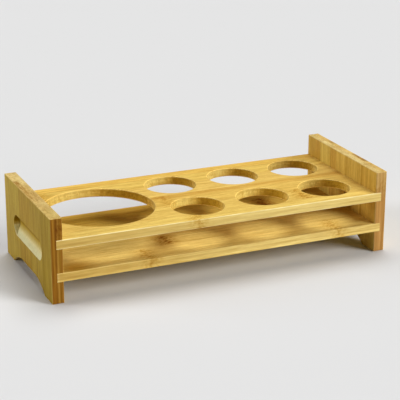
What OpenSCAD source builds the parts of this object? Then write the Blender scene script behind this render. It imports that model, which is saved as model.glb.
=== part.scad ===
// Two-tier bottle and glass rack in laminated bamboo: two end panels and two shelves let into them.
// Millimetres. X runs along the rack, -Y is the front, Z is up, and the table is at Z = 0.

/* [Rack] */
// Length over the outer faces of the end panels
rack_length = 360; // [300:1:460]
// Depth of the panels and shelves, front to back
rack_depth = 148; // [140:1:200]
// Radius to which the long arrises are sanded
arris_radius = 1; // [0.5:0.1:1.5]

/* [End panels] */
// Height of the end panels above the table
panel_height = 86; // [80:1:120]
// Thickness of the end panels
panel_thickness = 12.2; // [11:0.1:18]
// Rise of the arch between the feet
arch_rise = 11; // [6:0.5:14]
// Length of each foot along the panel
foot_length = 23.5; // [16:0.5:30]
// Radius of the arch's two shoulders
arch_shoulder_radius = 48; // [36:1:70]

/* [Finger recesses] */
// Length of the recess along the panel
recess_length = 91; // [70:1:110]
// Diameter of the cove along the recess's floor
cove_d = 25; // [24:0.5:30]
// Depth of the recess at its middle
recess_depth = 6; // [4:0.1:7]
// Radius to which the recess's rim is sanded
recess_rim_radius = 0.5; // [0.2:0.1:0.8]

/* [Shelves] */
// Thickness of both shelves
shelf_thickness = 9.2; // [8:0.1:12]
// Height of the upper shelf's top face
upper_shelf_top = 63.8; // [58:0.1:78]
// Height of the lower shelf's top face
lower_shelf_top = 30.8; // [26:0.1:34]
// Depth to which the shelves are let into the panels
housing_depth = 6.4; // [4:0.1:8]
// Glue room above each shelf and behind its ends
glue_room = 0.1; // [0.05:0.05:0.3]

/* [Holes] */
// Diameter of the bottle hole
bottle_hole_d = 112.5; // [90:0.5:116]
// Bottle hole's centre from the left panel's inner face
bottle_inset = 62.1; // [56:0.1:70]
// Diameter of the glass holes
glass_hole_d = 53.8; // [44:0.2:58]
// Spacing of the glass holes, both ways
glass_pitch = 71.4; // [64:0.2:78]
// Last glass column's centre from the right panel's inner face
glass_inset = 39; // [34:0.2:48]
// Least width of wood left between holes and at the shelf's edges
hole_web = 6; // [4:0.5:8]
// Radius to which the holes' rims are sanded
rim_radius = 1; // [0.4:0.1:1.5]

/* [Hidden] */
$fn = 96;
over = 2;
glass_columns = 3;
inner_face = rack_length / 2 - panel_thickness;
shelf_end = inner_face + housing_depth;
arch_half_span = rack_depth / 2 - foot_length;
shoulder_reach = sqrt(pow(arch_shoulder_radius, 2) - pow(arch_shoulder_radius - arch_rise, 2));
arch_flat_half = arch_half_span - shoulder_reach;
cove_r = cove_d / 2;
recess_half_height = sqrt(pow(cove_r, 2) - pow(cove_r - recess_depth, 2));
recess_z = (lower_shelf_top + upper_shelf_top - shelf_thickness) / 2;
recess_sweep = recess_length - 2 * recess_half_height;
bottle_x = -inner_face + bottle_inset;
last_glass_x = inner_face - glass_inset;
bottle_d = min(bottle_hole_d, rack_depth - 2 * hole_web);
first_glass_x = bottle_x + bottle_d / 2 + hole_web + glass_hole_d / 2;
column_pitch = min(glass_pitch, (last_glass_x - first_glass_x) / (glass_columns - 1));
glass_d = min(glass_hole_d, column_pitch - hole_web, (rack_depth - 3 * hole_web) / 2);
row_pitch = min(glass_pitch, rack_depth - 2 * hole_web - glass_d);

// Rectangle centred on the origin with true round corners
module round_rectangle(w, h, r) {
  square([w - 2 * r, h], center = true);
  square([w, h - 2 * r], center = true);
  for (sx = [-1, 1])
    for (sy = [-1, 1])
      translate([sx * (w / 2 - r), sy * (h / 2 - r)])
        circle(r);
}

// Prism along X of a Y-Z profile, centred on the origin
module along_x(length) {
  rotate([90, 0, 90])
    translate([0, 0, -length / 2])
      linear_extrude(length)
        children();
}

// Board centred on the origin with every arris rounded
module eased_board(x, y, z, r) {
  intersection() {
    along_x(x)
      round_rectangle(y, z, r);
    translate([0, 0, -z / 2])
      linear_extrude(z)
        round_rectangle(x, y, r);
    rotate([90, 0, 0])
      translate([0, 0, -y / 2])
        linear_extrude(y)
          round_rectangle(x, z, r);
  }
}

// Section of an opening through a board: from its axis to the wall at reach, flaring round to both faces
module mouth_profile(reach, depth, r) {
  difference() {
    translate([0, -over])
      square([reach + r, depth + 2 * over]);
    translate([reach, r])
      square([r + over, depth - 2 * r]);
    for (face = [r, depth - r])
      translate([reach + r, face])
        circle(r);
  }
}

// Round hole from Z = 0 up through a board, with both rims sanded round
module eased_hole(d, depth, r) {
  rotate_extrude()
    mouth_profile(d / 2, depth, r);
}

// Space under the arch: a flat crown between two round shoulders, with both arrises sanded round
module arch_space() {
  translate([0, -arch_flat_half, -over])
    rotate([-90, -90, 0])
      linear_extrude(2 * arch_flat_half)
        mouth_profile(arch_rise + over, panel_thickness, arris_radius);
  for (side = [-1, 1])
    translate([0, side * arch_flat_half, arch_rise - arch_shoulder_radius])
      rotate([0, 90, 0])
        eased_hole(2 * arch_shoulder_radius, panel_thickness, arris_radius);
}

// Quarter-round flare of the recess's rim, as a section from the recess's axis outwards
module rim_profile(reach, r) {
  difference() {
    translate([0, -over])
      square([reach + r, r + over]);
    translate([reach + r, r])
      circle(r);
  }
}

// Coved recess with upright round ends in the face at X = 0, reaching towards +X
module finger_recess() {
  translate([0, 0, recess_z]) {
    intersection() {
      translate([recess_depth - cove_r, 0, 0])
        rotate([90, 0, 0])
          cylinder(r = cove_r, h = recess_length + 2 * over, center = true);
      union() {
        translate([-over, -recess_sweep / 2, -cove_r])
          cube([recess_depth + 2 * over, recess_sweep, cove_d]);
        for (side = [-1, 1])
          translate([-over, side * recess_sweep / 2, 0])
            rotate([0, 90, 0])
              cylinder(r = recess_half_height, h = recess_depth + 2 * over);
      }
    }
    for (turn = [0, 180])
      rotate([turn, 0, 0])
        translate([0, -recess_sweep / 2, 0])
          rotate([-90, -90, 0])
            linear_extrude(recess_sweep)
              rim_profile(recess_half_height, recess_rim_radius);
    for (side = [-1, 1])
      translate([0, side * recess_sweep / 2, 0])
        rotate([0, 90, 0])
          rotate_extrude()
            rim_profile(recess_half_height, recess_rim_radius);
  }
}

// Housing for one shelf, open at the front and back, in the face at X = panel_thickness
module housing(shelf_top) {
  translate([panel_thickness - housing_depth - glue_room, -rack_depth / 2 - over, shelf_top - shelf_thickness])
    cube([housing_depth + glue_room + over, rack_depth + 2 * over, shelf_thickness + glue_room]);
}

// End panel with its outer face at X = 0 and its inner face towards +X
module end_panel() {
  difference() {
    translate([panel_thickness / 2, 0, panel_height / 2])
      eased_board(panel_thickness, rack_depth, panel_height, arris_radius);
    arch_space();
    finger_recess();
    housing(upper_shelf_top);
    housing(lower_shelf_top);
  }
}

// Shelf board with its front and back arrises rounded and its ends square for the housings
module shelf_board(top) {
  translate([0, 0, top - shelf_thickness / 2])
    along_x(2 * shelf_end)
      round_rectangle(rack_depth, shelf_thickness, arris_radius);
}

module left_end_panel() {
  color([0.66, 0.55, 0.27])
    translate([-rack_length / 2, 0, 0])
      end_panel();
}

module right_end_panel() {
  color([0.70, 0.57, 0.28])
    translate([rack_length / 2, 0, 0])
      mirror([1, 0, 0])
        end_panel();
}

module upper_shelf() {
  color([0.87, 0.73, 0.40])
    difference() {
      shelf_board(upper_shelf_top);
      translate([bottle_x, 0, upper_shelf_top - shelf_thickness])
        eased_hole(bottle_d, shelf_thickness, rim_radius);
      for (column = [0 : glass_columns - 1])
        for (row = [-0.5, 0.5])
          translate([last_glass_x - column * column_pitch, row * row_pitch, upper_shelf_top - shelf_thickness])
            eased_hole(glass_d, shelf_thickness, rim_radius);
    }
}

module lower_shelf() {
  color([0.80, 0.66, 0.36])
    shelf_board(lower_shelf_top);
}

left_end_panel();
right_end_panel();
upper_shelf();
lower_shelf();
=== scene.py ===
"""Bamboo bottle and glass rack: materials, light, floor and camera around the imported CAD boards."""
import math

import bpy
from mathutils import Euler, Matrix
from mathutils import Vector

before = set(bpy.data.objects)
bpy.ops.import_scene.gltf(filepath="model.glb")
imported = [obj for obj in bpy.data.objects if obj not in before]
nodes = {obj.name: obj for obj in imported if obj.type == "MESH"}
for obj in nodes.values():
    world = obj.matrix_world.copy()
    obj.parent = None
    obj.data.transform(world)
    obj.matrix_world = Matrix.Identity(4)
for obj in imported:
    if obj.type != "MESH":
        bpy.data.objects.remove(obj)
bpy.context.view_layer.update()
scene = bpy.context.scene
scene.view_settings.view_transform = "Standard"

# Camera at the photograph's angle: metres and degrees, with the lens and sensor in millimetres
CAMERA_PLACE = (-0.54058, -1.23508, 0.52738)
CAMERA_TURN = (70.7351, -0.139, -23.7534)
CAMERA_LENS = 125.665
SENSOR_WIDTH = 36.0
NEAREST_SEEN = 0.05
FARTHEST_SEEN = 50.0

# Board sizes in millimetres, as in the CAD
MM_PER_METRE = 1000.0
DEPTH = 148.0
HALF_LENGTH = 180.0
PANEL_THICKNESS = 12.2
PANEL_HEIGHT = 86.0
SHELF_THICKNESS = 9.2
UPPER_TOP = 63.8
LOWER_TOP = 30.8
RECESS_Z = 42.7
RECESS_DEPTH = 6.0
RECESS_HALF_LENGTH = 45.5
RECESS_REACH = 11.2

# How a fibre, a seam and a growth node change the wood's own colour
FIBRE_DARK = (0.78, 0.685, 0.53)
FIBRE_LIGHT = (1.11, 1.135, 1.20)
SEAM_DARK = (0.60, 0.46, 0.32)
NODE_DARK = (0.70, 0.545, 0.31)

# Colours of the blots on the end grain and of the holes' rims, sanded paler and painted with a highlight
BLOT_BROWN = (0.40, 0.21, 0.04)
SANDED_RIM_HIGHLIGHT = (1.0, 0.72, 0.20)

# Noise patterns: rates per millimetre along the grain, across it and through the board, detail, roughness
BROAD_FIBRES = ((0.008, 0.16, 0.3), 2.0, 0.5)
SHELF_FIBRES = ((0.032, 0.6, 0.6), 4.0, 0.65)
PANEL_FIBRES = ((0.022, 0.5, 0.6), 4.0, 0.65)
MOTTLE = ((0.22, 0.4, 0.4), 2.0, 0.5)
CLOUDS = ((0.02, 0.06, 0.2), 3.0, 0.6)
PLY_WANDER = ((0.03, 0.05, 0.1), 1.0, 0.5)
TOOL_CHATTER = ((0.35, 0.35, 0.12), 3.0, 0.75)

# Noise patterns with other directions: with and across a growth node's slant, a node's bend, a blot's grit
NODE_STROKES = ((0.16, 0.36, 0.4), 3.0, 0.6)
NODE_BEND = ((1.0, 0.09, 0.09), 2.0, 0.5)
BLOT_GRIT = ((0.09, 0.5, 1.0), 3.0, 0.6)
GRIT_SLICE = 3.7

# Vascular bundles, which show as dots on the end grain: rates, the rim of a dot, and the mean
BUNDLE_RATES = (0.003, 0.6, 0.6)
BUNDLE_RIM = (0.10, 0.42)
BUNDLE_MEAN = 0.75

# How far each pattern sways the tone between dark and light fibre
MIDDLE = 0.5
BROAD_SWAY = 0.36
MOTTLE_SWAY = 0.6
EDGE_MOTTLE_SWAY = 0.1
BUNDLE_SWAY = 0.12
END_BUNDLE_SWAY = 0.82
CLOUD_SWAY = 0.3
END_CLOUD_SWAY = 2.7
CHATTER_SWAY = 1.8

# Staves: the seam's width, and the numbers that set the fibres of one stave apart from the next one's
SEAM_WIDTH = 0.5
FIRST_NUMBER = 0.13
NUMBER_STEP = 0.37
NUMBER_SPREAD = 150.0

# Growth nodes: slant, swing along the grain, and the patch and the thin line that make one up
NODE_SLANT = 0.7
NODE_SWING = 16.0
NODE_WIDTH = 9.0
NODE_GROUND = 0.15
NODE_DABS = (0.42, 0.62)
NODE_LINE_WIDTH = 1.6
NODE_LINE_STRENGTH = 0.35

# Blots on the end grain: range of the grit, and the strengths that it gives
BLOT_DABS = (0.36, 0.62, 0.25, 1.0)

# Fading of growth nodes and blots at their sides and at their near and far faces, in millimetres
NODE_FADES = (1.5, 1.0)
BLOT_FADES = (5.0, 0.6)

# Ranges of a surface's facing that tell edges, end grain and arrises
EDGE_FACING = (0.55, 0.85)
END_FACING = (0.6, 0.85)
ARRIS_LEAN = (0.12, 0.42)
UPRIGHT_ARRIS = (0.45, 0.15, 0.3, 1.0)
CROWN_LEAN = (0.2, 0.45)

# Ranges that tell the hole walls of a shelf and the way they face, which sets their painted shade, and the
# fuzz that the tool left there
INSIDE_SHELF = (DEPTH / 2 - 1.5, DEPTH / 2 - 2.5)
WALL_FACING = (0.6, 0.3)
WALL_TURN = (0.35, -0.4)
WALL_FRONT_WEIGHT = 0.25
FUZZ_PLACE = 0.45 * SHELF_THICKNESS
FUZZ_WIDTH = 0.7
FUZZ_CHATTER = (0.45, 0.6)

# Ranges that tell a panel's finger recess, the lower part of its end walls, which gets a painted highlight,
# and its smooth lower part
RECESS_MOUTH = (0.04, 0.14)
RECESS_BACK = (RECESS_DEPTH + 1.0, RECESS_DEPTH + 0.5)
RECESS_ENDS = (RECESS_HALF_LENGTH + 1.0, RECESS_HALF_LENGTH + 0.6)
RECESS_RIMS = (RECESS_REACH, RECESS_REACH - 0.5)
RECESS_END_FACING = (0.3, 0.8)
RECESS_END_RISE = (2.0, -4.0)
# Shift of the recess end walls' lower part towards the pale stops, which is a painted highlight
RECESS_END_HIGHLIGHT_SHIFT = -0.2
RECESS_POOL = (0.0, -7.0)

# Calmer fibres in a recess: how far they give way, and to which tone
RECESS_CALM = 0.7
RECESS_TONE = 0.65

# Swing of the plies on an edge, and shares of the staves' tint on end grain and of an arris's colour, which
# is sanded paler and painted with a highlight
PLY_SWING = 0.14
END_TINT_SHARE = 0.5
ARRIS_SHARE = 0.75

# Lacquer and relief: roughness of dark and light fibre, bump heights, and the bump's distance in metres
DARK_ROUGHNESS = 0.66
LIGHT_ROUGHNESS = 0.50
NODE_ROUGHER = 0.12
POOL_SMOOTHER = 0.26
FIBRE_HEIGHT = 0.6
BUNDLE_HEIGHT = 0.3
SINK = 0.5
BUMP_STRENGTH = 0.5
BUMP_DISTANCE = 0.00012
LACQUER_IOR = 1.48
LACQUER_SPECULAR = 0.06
COAT_WEIGHT = 0.04
COAT_ROUGHNESS = 0.3

# Colours of cuts that boards share: a recess from its bottom up, paler cut wood with a painted highlight low
# down and painted shade under its upper rim, and hole walls, with the shelves' hidden ends, by the way they
# face
RECESS_CUT_LIGHT_AND_SHADE = [
    (0.00, (0.99, 0.95, 0.56)),
    (0.14, (0.99, 0.94, 0.53)),
    (0.22, (0.96, 0.84, 0.41)),
    (0.30, (0.72, 0.58, 0.20)),
    (0.40, (0.58, 0.425, 0.096)),
    (0.52, (0.49, 0.32, 0.033)),
    (0.60, (0.365, 0.21, 0.006)),
    (0.68, (0.28, 0.155, 0.003)),
    (1.00, (0.28, 0.155, 0.003)),
]
# Hole walls: cut wood, darker as painted shade where a wall turns away from the light
HOLE_CUT_AND_SHADE = [
    (0.0, (0.53, 0.305, 0.026)),
    (0.3, (0.71, 0.465, 0.085)),
    (1.0, (0.73, 0.54, 0.14)),
]

# Floor, backdrop and fill light of the studio
FLOOR_SIZE = 12.0
FLOOR_GREY = (0.74, 0.74, 0.74, 1.0)
BACKDROP_GREY = (0.78, 0.78, 0.78, 1.0)
BACKDROP_LEVEL = 1.0
FILL_WHITE = (1.0, 1.0, 1.0, 1.0)
FILL_LEVEL = 0.04

camera_data = bpy.data.cameras.new("camera")
camera_data.sensor_width = SENSOR_WIDTH
camera_data.lens = CAMERA_LENS
camera_data.clip_start = NEAREST_SEEN
camera_data.clip_end = FARTHEST_SEEN
camera = bpy.data.objects.new("camera", camera_data)
camera.location = CAMERA_PLACE
camera.rotation_euler = Euler([math.radians(angle) for angle in CAMERA_TURN], "XYZ")
scene.collection.objects.link(camera)
scene.camera = camera


def is_socket(value):
    """Tells a node's socket from a constant."""
    return hasattr(value, "is_linked")


class Graph:
    """Short calls that build the nodes of one material."""

    def __init__(self, name):
        self.material = bpy.data.materials.new(name)
        self.material.use_nodes = True
        self.tree = self.material.node_tree
        self.tree.nodes.clear()

    def new(self, kind):
        return self.tree.nodes.new(kind)

    def put(self, socket, value):
        """Links a socket or sets a constant."""
        if is_socket(value):
            self.tree.links.new(value, socket)
        else:
            socket.default_value = value

    def math(self, operation, a, b=0.0, c=0.0):
        """One Math node."""
        node = self.new("ShaderNodeMath")
        node.operation = operation
        self.put(node.inputs[0], a)
        self.put(node.inputs[1], b)
        self.put(node.inputs[2], c)
        return node.outputs[0]

    def add(self, a, b):
        return self.math("ADD", a, b)

    def sub(self, a, b):
        return self.math("SUBTRACT", a, b)

    def mul(self, a, b):
        return self.math("MULTIPLY", a, b)

    def most(self, a, b):
        return self.math("MAXIMUM", a, b)

    def least(self, a, b):
        return self.math("MINIMUM", a, b)

    def size(self, a):
        return self.math("ABSOLUTE", a)

    def outside(self, mask):
        """1 where the mask is 0, and 0 where it is 1."""
        return self.sub(1.0, mask)

    def between(self, mask, low, high):
        """Number that goes from low where the mask is 0 to high where it is 1."""
        return self.math("MULTIPLY_ADD", mask, high - low, low)

    def share(self, place, length):
        """Place in a length centred on zero, from 0 at its start to 1 at its end."""
        return self.math("MULTIPLY_ADD", place, 1.0 / length, 0.5)

    def sway(self, pattern, middle, strength):
        """A pattern's swing to both sides of its middle."""
        return self.mul(self.sub(pattern, middle), strength)

    def step(self, value, low, high, out_low=0.0, out_high=1.0):
        """Smooth step from out_low at low to out_high at high."""
        node = self.new("ShaderNodeMapRange")
        node.interpolation_type = "SMOOTHSTEP"
        self.put(node.inputs["Value"], value)
        node.inputs["From Min"].default_value = low
        node.inputs["From Max"].default_value = high
        node.inputs["To Min"].default_value = out_low
        node.inputs["To Max"].default_value = out_high
        return node.outputs["Result"]

    def bell(self, distance, width):
        """Bell-shaped pulse round zero distance."""
        ratio = self.math("DIVIDE", distance, width)
        return self.math("POWER", math.e, self.mul(self.mul(ratio, ratio), -1.0))

    def window(self, across, through, box, fades):
        """Box of (front, back, near face, far face) in a board, fading at its sides and at its faces."""
        front, back, near, far = box
        side_fade, face_fade = fades
        front_side = self.step(across, front - side_fade, front + side_fade)
        back_side = self.step(across, back + side_fade, back - side_fade)
        near_face = self.step(through, near - face_fade, near)
        far_face = self.step(through, far + face_fade, far)
        return self.mul(self.mul(front_side, back_side), self.mul(near_face, far_face))

    def vector(self, x, y, z):
        node = self.new("ShaderNodeCombineXYZ")
        self.put(node.inputs[0], x)
        self.put(node.inputs[1], y)
        self.put(node.inputs[2], z)
        return node.outputs[0]

    def split(self, vector):
        node = self.new("ShaderNodeSeparateXYZ")
        self.put(node.inputs[0], vector)
        return node.outputs[0], node.outputs[1], node.outputs[2]

    def scaled(self, places, rates):
        """Vector of three places, each times its rate."""
        return self.vector(*[self.mul(place, rate) for place, rate in zip(places, rates)])

    def noise(self, places, pattern):
        """Noise from 0 to 1 at three places, by a pattern of (rates, detail, roughness)."""
        rates, detail, rough = pattern
        node = self.new("ShaderNodeTexNoise")
        self.put(node.inputs["Vector"], self.scaled(places, rates))
        node.inputs["Scale"].default_value = 1.0
        node.inputs["Detail"].default_value = detail
        node.inputs["Roughness"].default_value = rough
        return node.outputs["Fac"]

    def cells(self, places, rates):
        """Distance to the nearest of scattered points."""
        node = self.new("ShaderNodeTexVoronoi")
        self.put(node.inputs["Vector"], self.scaled(places, rates))
        node.inputs["Scale"].default_value = 1.0
        return node.outputs["Distance"]

    def ramp(self, value, stops, interpolation="LINEAR"):
        """Colour ramp from (position, colour) stops in rising order."""
        node = self.new("ShaderNodeValToRGB")
        self.put(node.inputs[0], value)
        elements = node.color_ramp.elements
        node.color_ramp.interpolation = interpolation
        elements.remove(elements[1])
        elements[0].position = stops[0][0]
        elements[0].color = (*stops[0][1], 1.0)
        for position, colour in stops[1:]:
            element = elements.new(position)
            element.color = (*colour, 1.0)
        return node.outputs["Color"]

    def mix_value(self, factor, a, b):
        """Mixes two numbers."""
        return self.add(a, self.mul(factor, self.sub(b, a)))

    def mix(self, factor, a, b, blend="MIX"):
        """Mixes two colours."""
        node = self.new("ShaderNodeMix")
        node.data_type = "RGBA"
        node.blend_type = blend
        self.put(node.inputs["Factor"], factor)
        for name, value in (("A", a), ("B", b)):
            socket = [s for s in node.inputs if s.name == name and s.type == "RGBA"][0]
            self.put(socket, value if is_socket(value) else (*value, 1.0))
        return [s for s in node.outputs if s.type == "RGBA"][0]

    def tinted(self, colour, tint, share=1.0):
        """A colour times a tint."""
        return self.mix(share, colour, tint, "MULTIPLY")

    def finish(self, colour, roughness, height):
        """Lacquered surface with that colour, roughness and bump height."""
        bump = self.new("ShaderNodeBump")
        bump.inputs["Strength"].default_value = BUMP_STRENGTH
        bump.inputs["Distance"].default_value = BUMP_DISTANCE
        self.put(bump.inputs["Height"], height)
        shader = self.new("ShaderNodeBsdfPrincipled")
        self.put(shader.inputs["Base Color"], colour)
        self.put(shader.inputs["Roughness"], roughness)
        self.put(shader.inputs["Normal"], bump.outputs["Normal"])
        shader.inputs["IOR"].default_value = LACQUER_IOR
        shader.inputs["Specular IOR Level"].default_value = LACQUER_SPECULAR
        shader.inputs["Coat Weight"].default_value = COAT_WEIGHT
        shader.inputs["Coat Roughness"].default_value = COAT_ROUGHNESS
        out = self.new("ShaderNodeOutputMaterial")
        self.tree.links.new(shader.outputs[0], out.inputs[0])
        return self.material


class Board:
    """One board's wood, in millimetres.

    The fibres run along the axis named by grain, and depth through the board is counted from reference. face,
    edge, end, cut and arris colour the broad faces, the long edges and the end grain (both by depth), the cut
    surfaces (a recess by height, paler cut wood with painted highlight and painted shade; a hole's wall by
    the way it faces, with painted shade) and the arrises, sanded paler and painted with a highlight.
    edge_light_drift changes the edges' colour along the grain: painted shade and light on the shelves, darker
    to the left and lighter to the right, and a change with height on the panels. streak and edge_streak are
    the fibres' contrast on faces and on edges. A stave is (front, tint, strength of its front seam). A growth
    node in marks is (place along the grain, front, back, near face, far face, strength). A blot on the end
    grain is (front, back, near face, far face, strength). A patch of painted shade on a broad face, darker
    and warmer, is (place along the grain, reach, front, back, tint).
    """

    def __init__(
        self, grain, reference, thickness, face, edge, edge_light_drift, end, cut, arris,
        staves, marks, streak, edge_streak, blots=(), shade_patches=(),
    ):
        self.grain = grain
        self.reference = reference
        self.thickness = thickness
        self.face = face
        self.edge = edge
        self.edge_light_drift = edge_light_drift
        self.end = end
        self.cut = cut
        self.arris = arris
        self.staves = staves
        self.marks = marks
        self.streak = streak
        self.edge_streak = edge_streak
        self.blots = blots
        self.shade_patches = shade_patches


def stave_pattern(g, across, board):
    """Tint of the stave at a place, the thin seams between staves, and a number that differs by stave."""
    place = g.share(across, DEPTH)
    tints = []
    numbers = []
    seams = [(0.0, (0.0, 0.0, 0.0))]
    for count, (start, tint, strength) in enumerate(board.staves):
        at = max(start / DEPTH + 0.5, 0.0)
        tints.append((at, tint))
        number = (FIRST_NUMBER + NUMBER_STEP * count) % 1.0
        numbers.append((at, (number, number, number)))
        if count:
            seams.append((at - SEAM_WIDTH / DEPTH, (strength, strength, strength)))
            seams.append((at, (0.0, 0.0, 0.0)))
    tint = g.ramp(place, tints, "CONSTANT")
    seam = g.ramp(place, seams, "CONSTANT")
    number = g.mul(g.ramp(place, numbers, "CONSTANT"), NUMBER_SPREAD)
    return tint, seam, number


def growth_nodes(g, along, across, through, board):
    """Strength of the bamboo's growth nodes: a feathery patch with a thin line, across one stave."""
    lean = g.math("MULTIPLY_ADD", across, NODE_SLANT, along)
    slant = g.math("MULTIPLY_ADD", along, -NODE_SLANT, across)
    dabs = g.step(g.noise((lean, slant, through), NODE_STROKES), *NODE_DABS)
    total = 0.0
    for at, front, back, near, far, strength in board.marks:
        bend = g.noise((at, across, through), NODE_BEND)
        off = g.add(g.sub(along, at), g.sway(bend, MIDDLE, NODE_SWING))
        patch = g.mul(g.bell(off, NODE_WIDTH), g.between(dabs, NODE_GROUND, 1.0))
        line = g.mul(g.bell(off, NODE_LINE_WIDTH), NODE_LINE_STRENGTH)
        window = g.window(across, through, (front, back, near, far), NODE_FADES)
        total = g.most(total, g.mul(g.mul(g.add(patch, line), window), strength))
    return total


def end_blots(g, across, through, board):
    """Strength of the brown blots on a board's end grain."""
    dabs = g.step(g.noise((across, through, GRIT_SLICE), BLOT_GRIT), *BLOT_DABS)
    total = 0.0
    for front, back, near, far, strength in board.blots:
        window = g.window(across, through, (front, back, near, far), BLOT_FADES)
        total = g.most(total, g.mul(window, strength))
    return g.mul(total, dabs)


def hole_walls(g, across, normal, ny, nz):
    """Where a shelf's surface lies inside its edges, where it is a hole's wall, and the way that faces, by
    which the wall is coloured darker as painted shade.
    """
    inside = g.step(g.size(across), *INSIDE_SHELF)
    is_wall = g.mul(g.step(nz, *WALL_FACING), inside)
    turn = g.sub(g.mul(normal[0], normal[1]), g.mul(g.mul(ny, ny), WALL_FRONT_WEIGHT))
    return inside, is_wall, g.step(turn, *WALL_TURN)


def finger_recess(g, across, through, rise, ny):
    """Where a panel's surface is its finger recess, and the height in the recess by which it is coloured:
    paler cut wood with a painted highlight low down and painted shade high up under the rim, and the end
    walls' lower part shifted to the painted highlight.
    """
    deep = g.mul(g.step(through, *RECESS_MOUTH), g.step(through, *RECESS_BACK))
    wide = g.step(g.size(across), *RECESS_ENDS)
    tall = g.step(g.size(rise), *RECESS_RIMS)
    is_recess = g.mul(deep, g.mul(wide, tall))
    end_wall = g.mul(g.step(ny, *RECESS_END_FACING), g.step(rise, *RECESS_END_RISE))
    share = g.math("MULTIPLY_ADD", end_wall, RECESS_END_HIGHLIGHT_SHIFT, g.share(rise, 2 * RECESS_REACH))
    return is_recess, share


def bamboo(name, board):
    """Laminated bamboo as a solid: fibres along the grain, staves across it, dots on the end grain."""
    g = Graph(name)
    coordinates = g.new("ShaderNodeTexCoord")
    x, across, z = [g.mul(axis, MM_PER_METRE) for axis in g.split(coordinates.outputs["Object"])]
    normal = g.split(coordinates.outputs["Normal"])
    nx, ny, nz = [g.size(axis) for axis in normal]
    is_shelf = board.grain == "x"
    if is_shelf:
        along = x
        length_share = g.share(x, 2 * HALF_LENGTH)
        through = g.sub(board.reference, z)
        end_facing = nx
        face_facing = nz
        fibres = SHELF_FIBRES
    else:
        along = z
        length_share = g.math("DIVIDE", z, PANEL_HEIGHT)
        through = g.size(g.sub(x, board.reference))
        end_facing = nz
        face_facing = nx
        fibres = PANEL_FIBRES
    tint, seam, number = stave_pattern(g, across, board)
    places = (along, across, through)
    stave_places = (along, g.add(across, number), through)

    # Where the surface is a sawn edge, end grain or an arris, which is sanded paler and painted with a
    # highlight
    is_edge = g.step(ny, *EDGE_FACING)
    is_end = g.step(end_facing, *END_FACING)
    lean_out = g.math("SQRT", g.most(g.outside(g.mul(face_facing, face_facing)), 0.0))
    is_arris = g.step(g.mul(lean_out, face_facing), *ARRIS_LEAN)

    # Where the surface was cut: the hole walls of a shelf, or a panel's recess
    if is_shelf:
        inside, is_cut, cut_share = hole_walls(g, across, normal, ny, nz)
        arris = g.mix(inside, board.arris, SANDED_RIM_HIGHLIGHT)
    else:
        rise = g.sub(z, RECESS_Z)
        is_cut, cut_share = finger_recess(g, across, through, rise, ny)
        upright = g.step(ny, *UPRIGHT_ARRIS)
        crown = g.step(g.mul(ny, normal[2]), *CROWN_LEAN)
        is_arris = g.mul(g.most(g.mul(is_arris, upright), crown), g.outside(is_cut))
        arris = board.arris

    # Colour of each kind of surface
    ply = g.math("DIVIDE", through, board.thickness)
    ply = g.add(ply, g.sway(g.noise(places, PLY_WANDER), MIDDLE, PLY_SWING))
    # Edge colour along the grain: painted shade to the left and painted light to the right on the shelves, a
    # change with height on the panels
    edge = g.tinted(g.ramp(ply, board.edge), g.ramp(length_share, board.edge_light_drift))
    end = g.tinted(g.ramp(ply, board.end), tint, END_TINT_SHARE)
    base = g.tinted(board.face, tint)
    base = g.mix(is_edge, base, edge)
    base = g.mix(is_end, base, end)
    base = g.mix(is_cut, base, g.ramp(cut_share, board.cut))
    # Arrises and hole rims: paler sanded wood with a painted highlight along them
    base = g.mix(g.mul(is_arris, ARRIS_SHARE), base, arris)

    # Tone from fibres along the grain, vascular bundles and cloudy patches
    broad = g.noise(stave_places, BROAD_FIBRES)
    fine = g.noise(stave_places, fibres)
    mottle = g.noise(places, MOTTLE)
    bundles = g.step(g.cells(places, BUNDLE_RATES), *BUNDLE_RIM)
    cloud = g.noise(places, CLOUDS)
    tone = g.sway(broad, MIDDLE, BROAD_SWAY * board.streak)
    tone = g.add(tone, g.sway(fine, MIDDLE, g.between(is_edge, board.streak, board.edge_streak)))
    tone = g.add(tone, g.sway(mottle, MIDDLE, g.between(is_edge, MOTTLE_SWAY, EDGE_MOTTLE_SWAY)))
    tone = g.add(tone, g.sway(bundles, BUNDLE_MEAN, g.between(is_end, BUNDLE_SWAY, END_BUNDLE_SWAY)))
    tone = g.add(tone, g.sway(cloud, MIDDLE, g.between(is_end, CLOUD_SWAY, END_CLOUD_SWAY)))
    tone = g.add(tone, MIDDLE)
    if is_shelf:
        chatter = g.noise((x, across, z), TOOL_CHATTER)
        fuzz = g.mul(g.bell(g.sub(through, FUZZ_PLACE), FUZZ_WIDTH), g.step(chatter, *FUZZ_CHATTER))
        tone = g.add(tone, g.mul(g.sway(chatter, MIDDLE, CHATTER_SWAY), is_cut))
        tone = g.add(tone, g.mul(fuzz, is_cut))
    else:
        tone = g.mix_value(g.mul(is_cut, RECESS_CALM), tone, RECESS_TONE)
        blots = g.mul(end_blots(g, across, through, board), g.mul(is_end, g.outside(is_cut)))
        base = g.mix(blots, base, BLOT_BROWN)
    tone = g.least(g.most(tone, 0.0), 1.0)
    colour = g.mix(tone, g.tinted(base, FIBRE_DARK), g.tinted(base, FIBRE_LIGHT))

    # Seams, growth nodes and spots of painted shade
    seam = g.mul(seam, g.outside(is_cut))
    colour = g.mix(seam, colour, g.tinted(colour, SEAM_DARK))
    knots = growth_nodes(g, along, across, through, board)
    stain = g.vector(*[g.math("POWER", part, knots) for part in NODE_DARK])
    colour = g.tinted(colour, stain)
    knots = g.least(knots, 1.0)
    for at, reach, front, back, shade_tint in board.shade_patches:
        weight = g.mul(g.bell(g.sub(along, at), reach), g.step(across, back, front))
        weight = g.mul(weight, g.outside(is_edge))
        colour = g.mix(weight, colour, g.tinted(colour, shade_tint))

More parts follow.
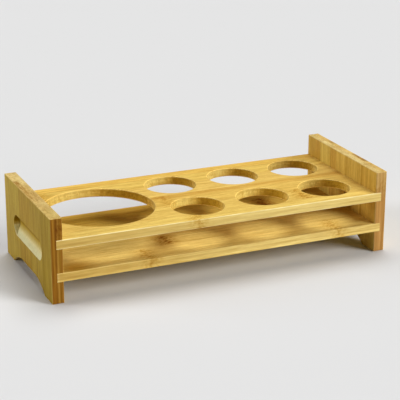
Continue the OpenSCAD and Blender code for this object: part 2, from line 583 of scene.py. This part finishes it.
    # Sheen and relief follow the same pattern
    roughness = g.between(fine, DARK_ROUGHNESS, LIGHT_ROUGHNESS)
    roughness = g.add(roughness, g.mul(knots, NODE_ROUGHER))
    if not is_shelf:
        pool = g.mul(is_cut, g.step(rise, *RECESS_POOL))
        roughness = g.sub(roughness, g.mul(pool, POOL_SMOOTHER))
    height = g.add(g.mul(fine, FIBRE_HEIGHT), g.mul(bundles, BUNDLE_HEIGHT))
    height = g.sub(height, g.mul(g.add(knots, seam), SINK))
    return g.finish(colour, roughness, height)


LEFT_PANEL = Board(
    grain="z",
    reference=-HALF_LENGTH,
    thickness=PANEL_THICKNESS,
    # Face colour darker than the right panel's, though the bamboo is the same: painted shade on the outer
    # face
    face=(0.452, 0.297, 0.033),
    edge=[
        (0.00, (0.38, 0.215, 0.030)),
        (0.12, (0.22, 0.085, 0.003)),
        (0.27, (0.34, 0.158, 0.015)),
        (0.45, (0.19, 0.073, 0.003)),
        (0.61, (0.37, 0.195, 0.028)),
        (0.74, (0.24, 0.110, 0.008)),
        (1.00, (0.325, 0.150, 0.016)),
    ],
    edge_light_drift=[
        (0.0, (1.15, 1.15, 1.2)),
        (0.5, (1.0, 1.0, 0.95)),
        (1.0, (1.0, 1.0, 1.0)),
    ],
    end=[
        (0.00, (0.70, 0.50, 0.175)),
        (0.42, (0.64, 0.45, 0.150)),
        (0.50, (0.665, 0.485, 0.172)),
        (1.00, (0.665, 0.485, 0.177)),
    ],
    cut=RECESS_CUT_LIGHT_AND_SHADE,
    arris=(0.72, 0.53, 0.18),
    # Stave tints rise towards the back: stave tone and painted light from the back-left
    staves=[
        (-75.0, (0.87, 0.88, 0.72), 0.00),
        (-51.0, (0.80, 0.80, 0.60), 0.00),
        (-47.0, (0.93, 0.94, 0.97), 0.50),
        (-28.0, (1.01, 1.02, 1.08), 0.15),
        (-11.5, (0.99, 0.94, 0.85), 0.30),
        (24.0, (1.11, 1.16, 1.28), 0.30),
        (60.0, (1.16, 1.21, 1.34), 0.30),
    ],
    marks=[
        (8.0, -11.5, 24.0, 0.0, PANEL_THICKNESS, 0.4),
        (96.0, -47.0, -11.0, 0.0, PANEL_THICKNESS, 0.6),
        (76.0, -75.0, -66.0, 6.0, PANEL_THICKNESS, 1.0),
    ],
    streak=3.4,
    edge_streak=4.2,
    blots=[
        (-16.0, 46.0, 0.8, 4.6, 0.90),
        (-24.0, 10.0, 4.6, 11.0, 0.60),
    ],
)
RIGHT_PANEL = Board(
    grain="z",
    reference=HALF_LENGTH,
    thickness=PANEL_THICKNESS,
    face=(0.684, 0.456, 0.086),
    edge=[
        (0.00, (0.544, 0.307, 0.084)),
        (0.30, (0.508, 0.271, 0.072)),
        (0.50, (0.605, 0.338, 0.102)),
        (0.62, (0.508, 0.271, 0.072)),
        (1.00, (0.544, 0.307, 0.090)),
    ],
    edge_light_drift=[
        (0.00, (0.99, 0.97, 0.97)),
        (0.65, (0.90, 0.85, 0.76)),
        (0.80, (1.04, 1.19, 1.38)),
        (1.00, (1.04, 1.19, 1.38)),
    ],
    end=[
        (0.00, (0.72, 0.48, 0.130)),
        (0.40, (0.69, 0.475, 0.150)),
        (0.50, (0.705, 0.515, 0.192)),
        (1.00, (0.705, 0.53, 0.196)),
    ],
    cut=RECESS_CUT_LIGHT_AND_SHADE,
    arris=(0.76, 0.57, 0.22),
    staves=[
        (-75.0, (0.96, 0.92, 0.86), 0.00),
        (-45.8, (0.76, 0.65, 0.44), 0.30),
        (-43.2, (1.03, 1.05, 1.10), 0.00),
        (-15.0, (1.06, 1.09, 1.15), 0.30),
        (10.0, (0.98, 0.92, 0.88), 0.10),
        (23.0, (1.12, 1.22, 1.34), 0.30),
        (46.0, (0.92, 0.83, 0.66), 0.60),
        (56.0, (0.93, 0.88, 0.72), 0.00),
    ],
    marks=[
        (68.0, -75.0, -70.0, 0.0, PANEL_THICKNESS, 0.5),
        (20.0, 23.0, 46.0, 0.0, PANEL_THICKNESS, 0.5),
    ],
    streak=2.3,
    edge_streak=3.0,
    blots=[
        (-36.0, -9.0, 0.8, 4.4, 1.60),
        (28.0, 46.0, 0.8, 4.6, 0.60),
    ],
)
UPPER_SHELF = Board(
    grain="x",
    reference=UPPER_TOP,
    thickness=SHELF_THICKNESS,
    face=(0.84, 0.57, 0.132),
    edge=[
        (0.00, (0.77, 0.58, 0.185)),
        (0.45, (0.75, 0.56, 0.18)),
        (0.55, (0.70, 0.52, 0.16)),
        (1.00, (0.75, 0.56, 0.18)),
    ],
    edge_light_drift=[
        (0.0, (0.76, 0.68, 0.54)),
        (0.2, (0.83, 0.76, 0.65)),
        (0.5, (1.06, 1.09, 1.17)),
        (1.0, (1.12, 1.16, 1.24)),
    ],
    end=[
        (0.00, (0.76, 0.62, 0.24)),
        (0.50, (0.70, 0.55, 0.20)),
        (1.00, (0.76, 0.62, 0.24)),
    ],
    cut=HOLE_CUT_AND_SHADE,
    arris=(0.96, 0.86, 0.46),
    staves=[
        (-75.0, (1.02, 1.07, 1.13), 0.00),
        (-59.5, (0.97, 0.98, 1.00), 0.50),
        (-28.5, (0.98, 0.97, 0.95), 0.40),
        (-6.0, (0.92, 0.86, 0.78), 0.00),
        (-1.5, (0.85, 0.74, 0.62), 0.20),
        (4.5, (0.99, 0.99, 1.06), 0.30),
        (32.0, (0.94, 0.91, 0.90), 0.20),
        (36.0, (0.98, 1.00, 0.97), 0.00),
        (60.0, (0.99, 0.94, 0.83), 0.50),
    ],
    marks=[
        (-38.0, -28.5, 4.5, 0.0, SHELF_THICKNESS, 0.65),
        (-30.0, -75.0, -59.5, 0.0, SHELF_THICKNESS, 0.8),
        (97.0, -59.5, -28.5, 0.0, SHELF_THICKNESS, 1.0),
        (-150.0, 31.0, 60.0, 0.0, SHELF_THICKNESS, 0.7),
    ],
    streak=3.2,
    edge_streak=1.8,
)
LOWER_SHELF = Board(
    grain="x",
    reference=LOWER_TOP,
    thickness=SHELF_THICKNESS,
    face=(0.705, 0.497, 0.13),
    edge=[
        (0.00, (0.74, 0.545, 0.162)),
        (0.50, (0.71, 0.515, 0.152)),
        (0.85, (0.82, 0.615, 0.187)),
        (1.00, (0.86, 0.655, 0.197)),
    ],
    edge_light_drift=[
        (0.000, (0.82, 0.76, 0.76)),
        (0.020, (0.82, 0.76, 0.76)),
        (0.024, (0.74, 0.65, 0.51)),
        (0.200, (0.82, 0.74, 0.61)),
        (0.500, (1.08, 1.10, 1.16)),
        (1.000, (1.14, 1.16, 1.25)),
    ],
    end=[
        (0.00, (0.76, 0.62, 0.24)),
        (1.00, (0.70, 0.56, 0.22)),
    ],
    cut=HOLE_CUT_AND_SHADE,
    arris=(0.80, 0.60, 0.20),
    staves=[
        (-75.0, (1.07, 1.11, 1.19), 0.00),
        (-43.5, (0.98, 0.98, 0.98), 0.60),
        (-22.0, (1.01, 0.99, 0.95), 0.40),
        # The back staves, under the upper shelf, are darker: stave tone and painted shade
        (12.0, (0.85, 0.78, 0.50), 0.50),
        (44.0, (0.78, 0.68, 0.35), 0.50),
    ],
    marks=[
        (-48.0, -43.5, -20.0, 0.0, SHELF_THICKNESS, 1.6),
        (-79.0, -75.0, -46.0, 0.0, SHELF_THICKNESS, 0.85),
        (126.0, -75.0, -43.5, 0.0, SHELF_THICKNESS, 0.8),
        (92.0, 12.0, 44.0, 0.0, SHELF_THICKNESS, 1.6),
    ],
    streak=3.2,
    edge_streak=2.8,
    # Painted shade at the front-left corner, beside the left panel, darker and warmer
    shade_patches=[
        (-154.0, 19.0, -66.0, -42.0, (0.72, 0.56, 0.26)),
    ],
)
BOARDS = {
    "left_end_panel": LEFT_PANEL,
    "right_end_panel": RIGHT_PANEL,
    "upper_shelf": UPPER_SHELF,
    "lower_shelf": LOWER_SHELF,
}
for name, board in BOARDS.items():
    item = nodes[name]
    item.data.materials.clear()
    item.data.materials.append(bamboo("bamboo_" + name, board))

bpy.ops.mesh.primitive_plane_add(size=FLOOR_SIZE, location=(0.0, 0.0, 0.0))
floor = bpy.context.object
floor.name = "floor"
floor_look = bpy.data.materials.new("floor")
floor_look.use_nodes = True
floor_shader = floor_look.node_tree.nodes["Principled BSDF"]
floor_shader.inputs["Base Color"].default_value = FLOOR_GREY
floor_shader.inputs["Roughness"].default_value = 1.0
floor_shader.inputs["Specular IOR Level"].default_value = 0.0
floor.data.materials.append(floor_look)


def lamp(name, towards, spread, level):
    """Distant soft lamp.

    towards is the direction to it, spread its width in degrees, and level its light on a surface facing it.
    """
    data = bpy.data.lights.new(name, "SUN")
    data.angle = math.radians(spread)
    data.energy = level * math.pi
    item = bpy.data.objects.new(name, data)
    item.rotation_mode = "QUATERNION"
    item.rotation_quaternion = Vector(towards).to_track_quat("Z", "Y")
    scene.collection.objects.link(item)


lamp("key", (0.25, 0.44, 1.34), 37.0, 0.545)
lamp("front", (1.05, -1.10, 0.66), 31.5, 0.91)
lamp("side", (-1.05, 0.40, 0.42), 30.0, 0.42)

# Faint white fill light, and a pale backdrop that only the camera sees
world = bpy.data.worlds.new("studio")
world.use_nodes = True
sky = world.node_tree
fill = sky.nodes["Background"]
fill.inputs["Color"].default_value = FILL_WHITE
fill.inputs["Strength"].default_value = FILL_LEVEL
backdrop = sky.nodes.new("ShaderNodeBackground")
backdrop.inputs["Color"].default_value = BACKDROP_GREY
backdrop.inputs["Strength"].default_value = BACKDROP_LEVEL
rays = sky.nodes.new("ShaderNodeLightPath")
seen = sky.nodes.new("ShaderNodeMixShader")
sky.links.new(rays.outputs["Is Camera Ray"], seen.inputs["Fac"])
sky.links.new(fill.outputs["Background"], seen.inputs[1])
sky.links.new(backdrop.outputs["Background"], seen.inputs[2])
sky.links.new(seen.outputs["Shader"], sky.nodes["World Output"].inputs["Surface"])
scene.world = world
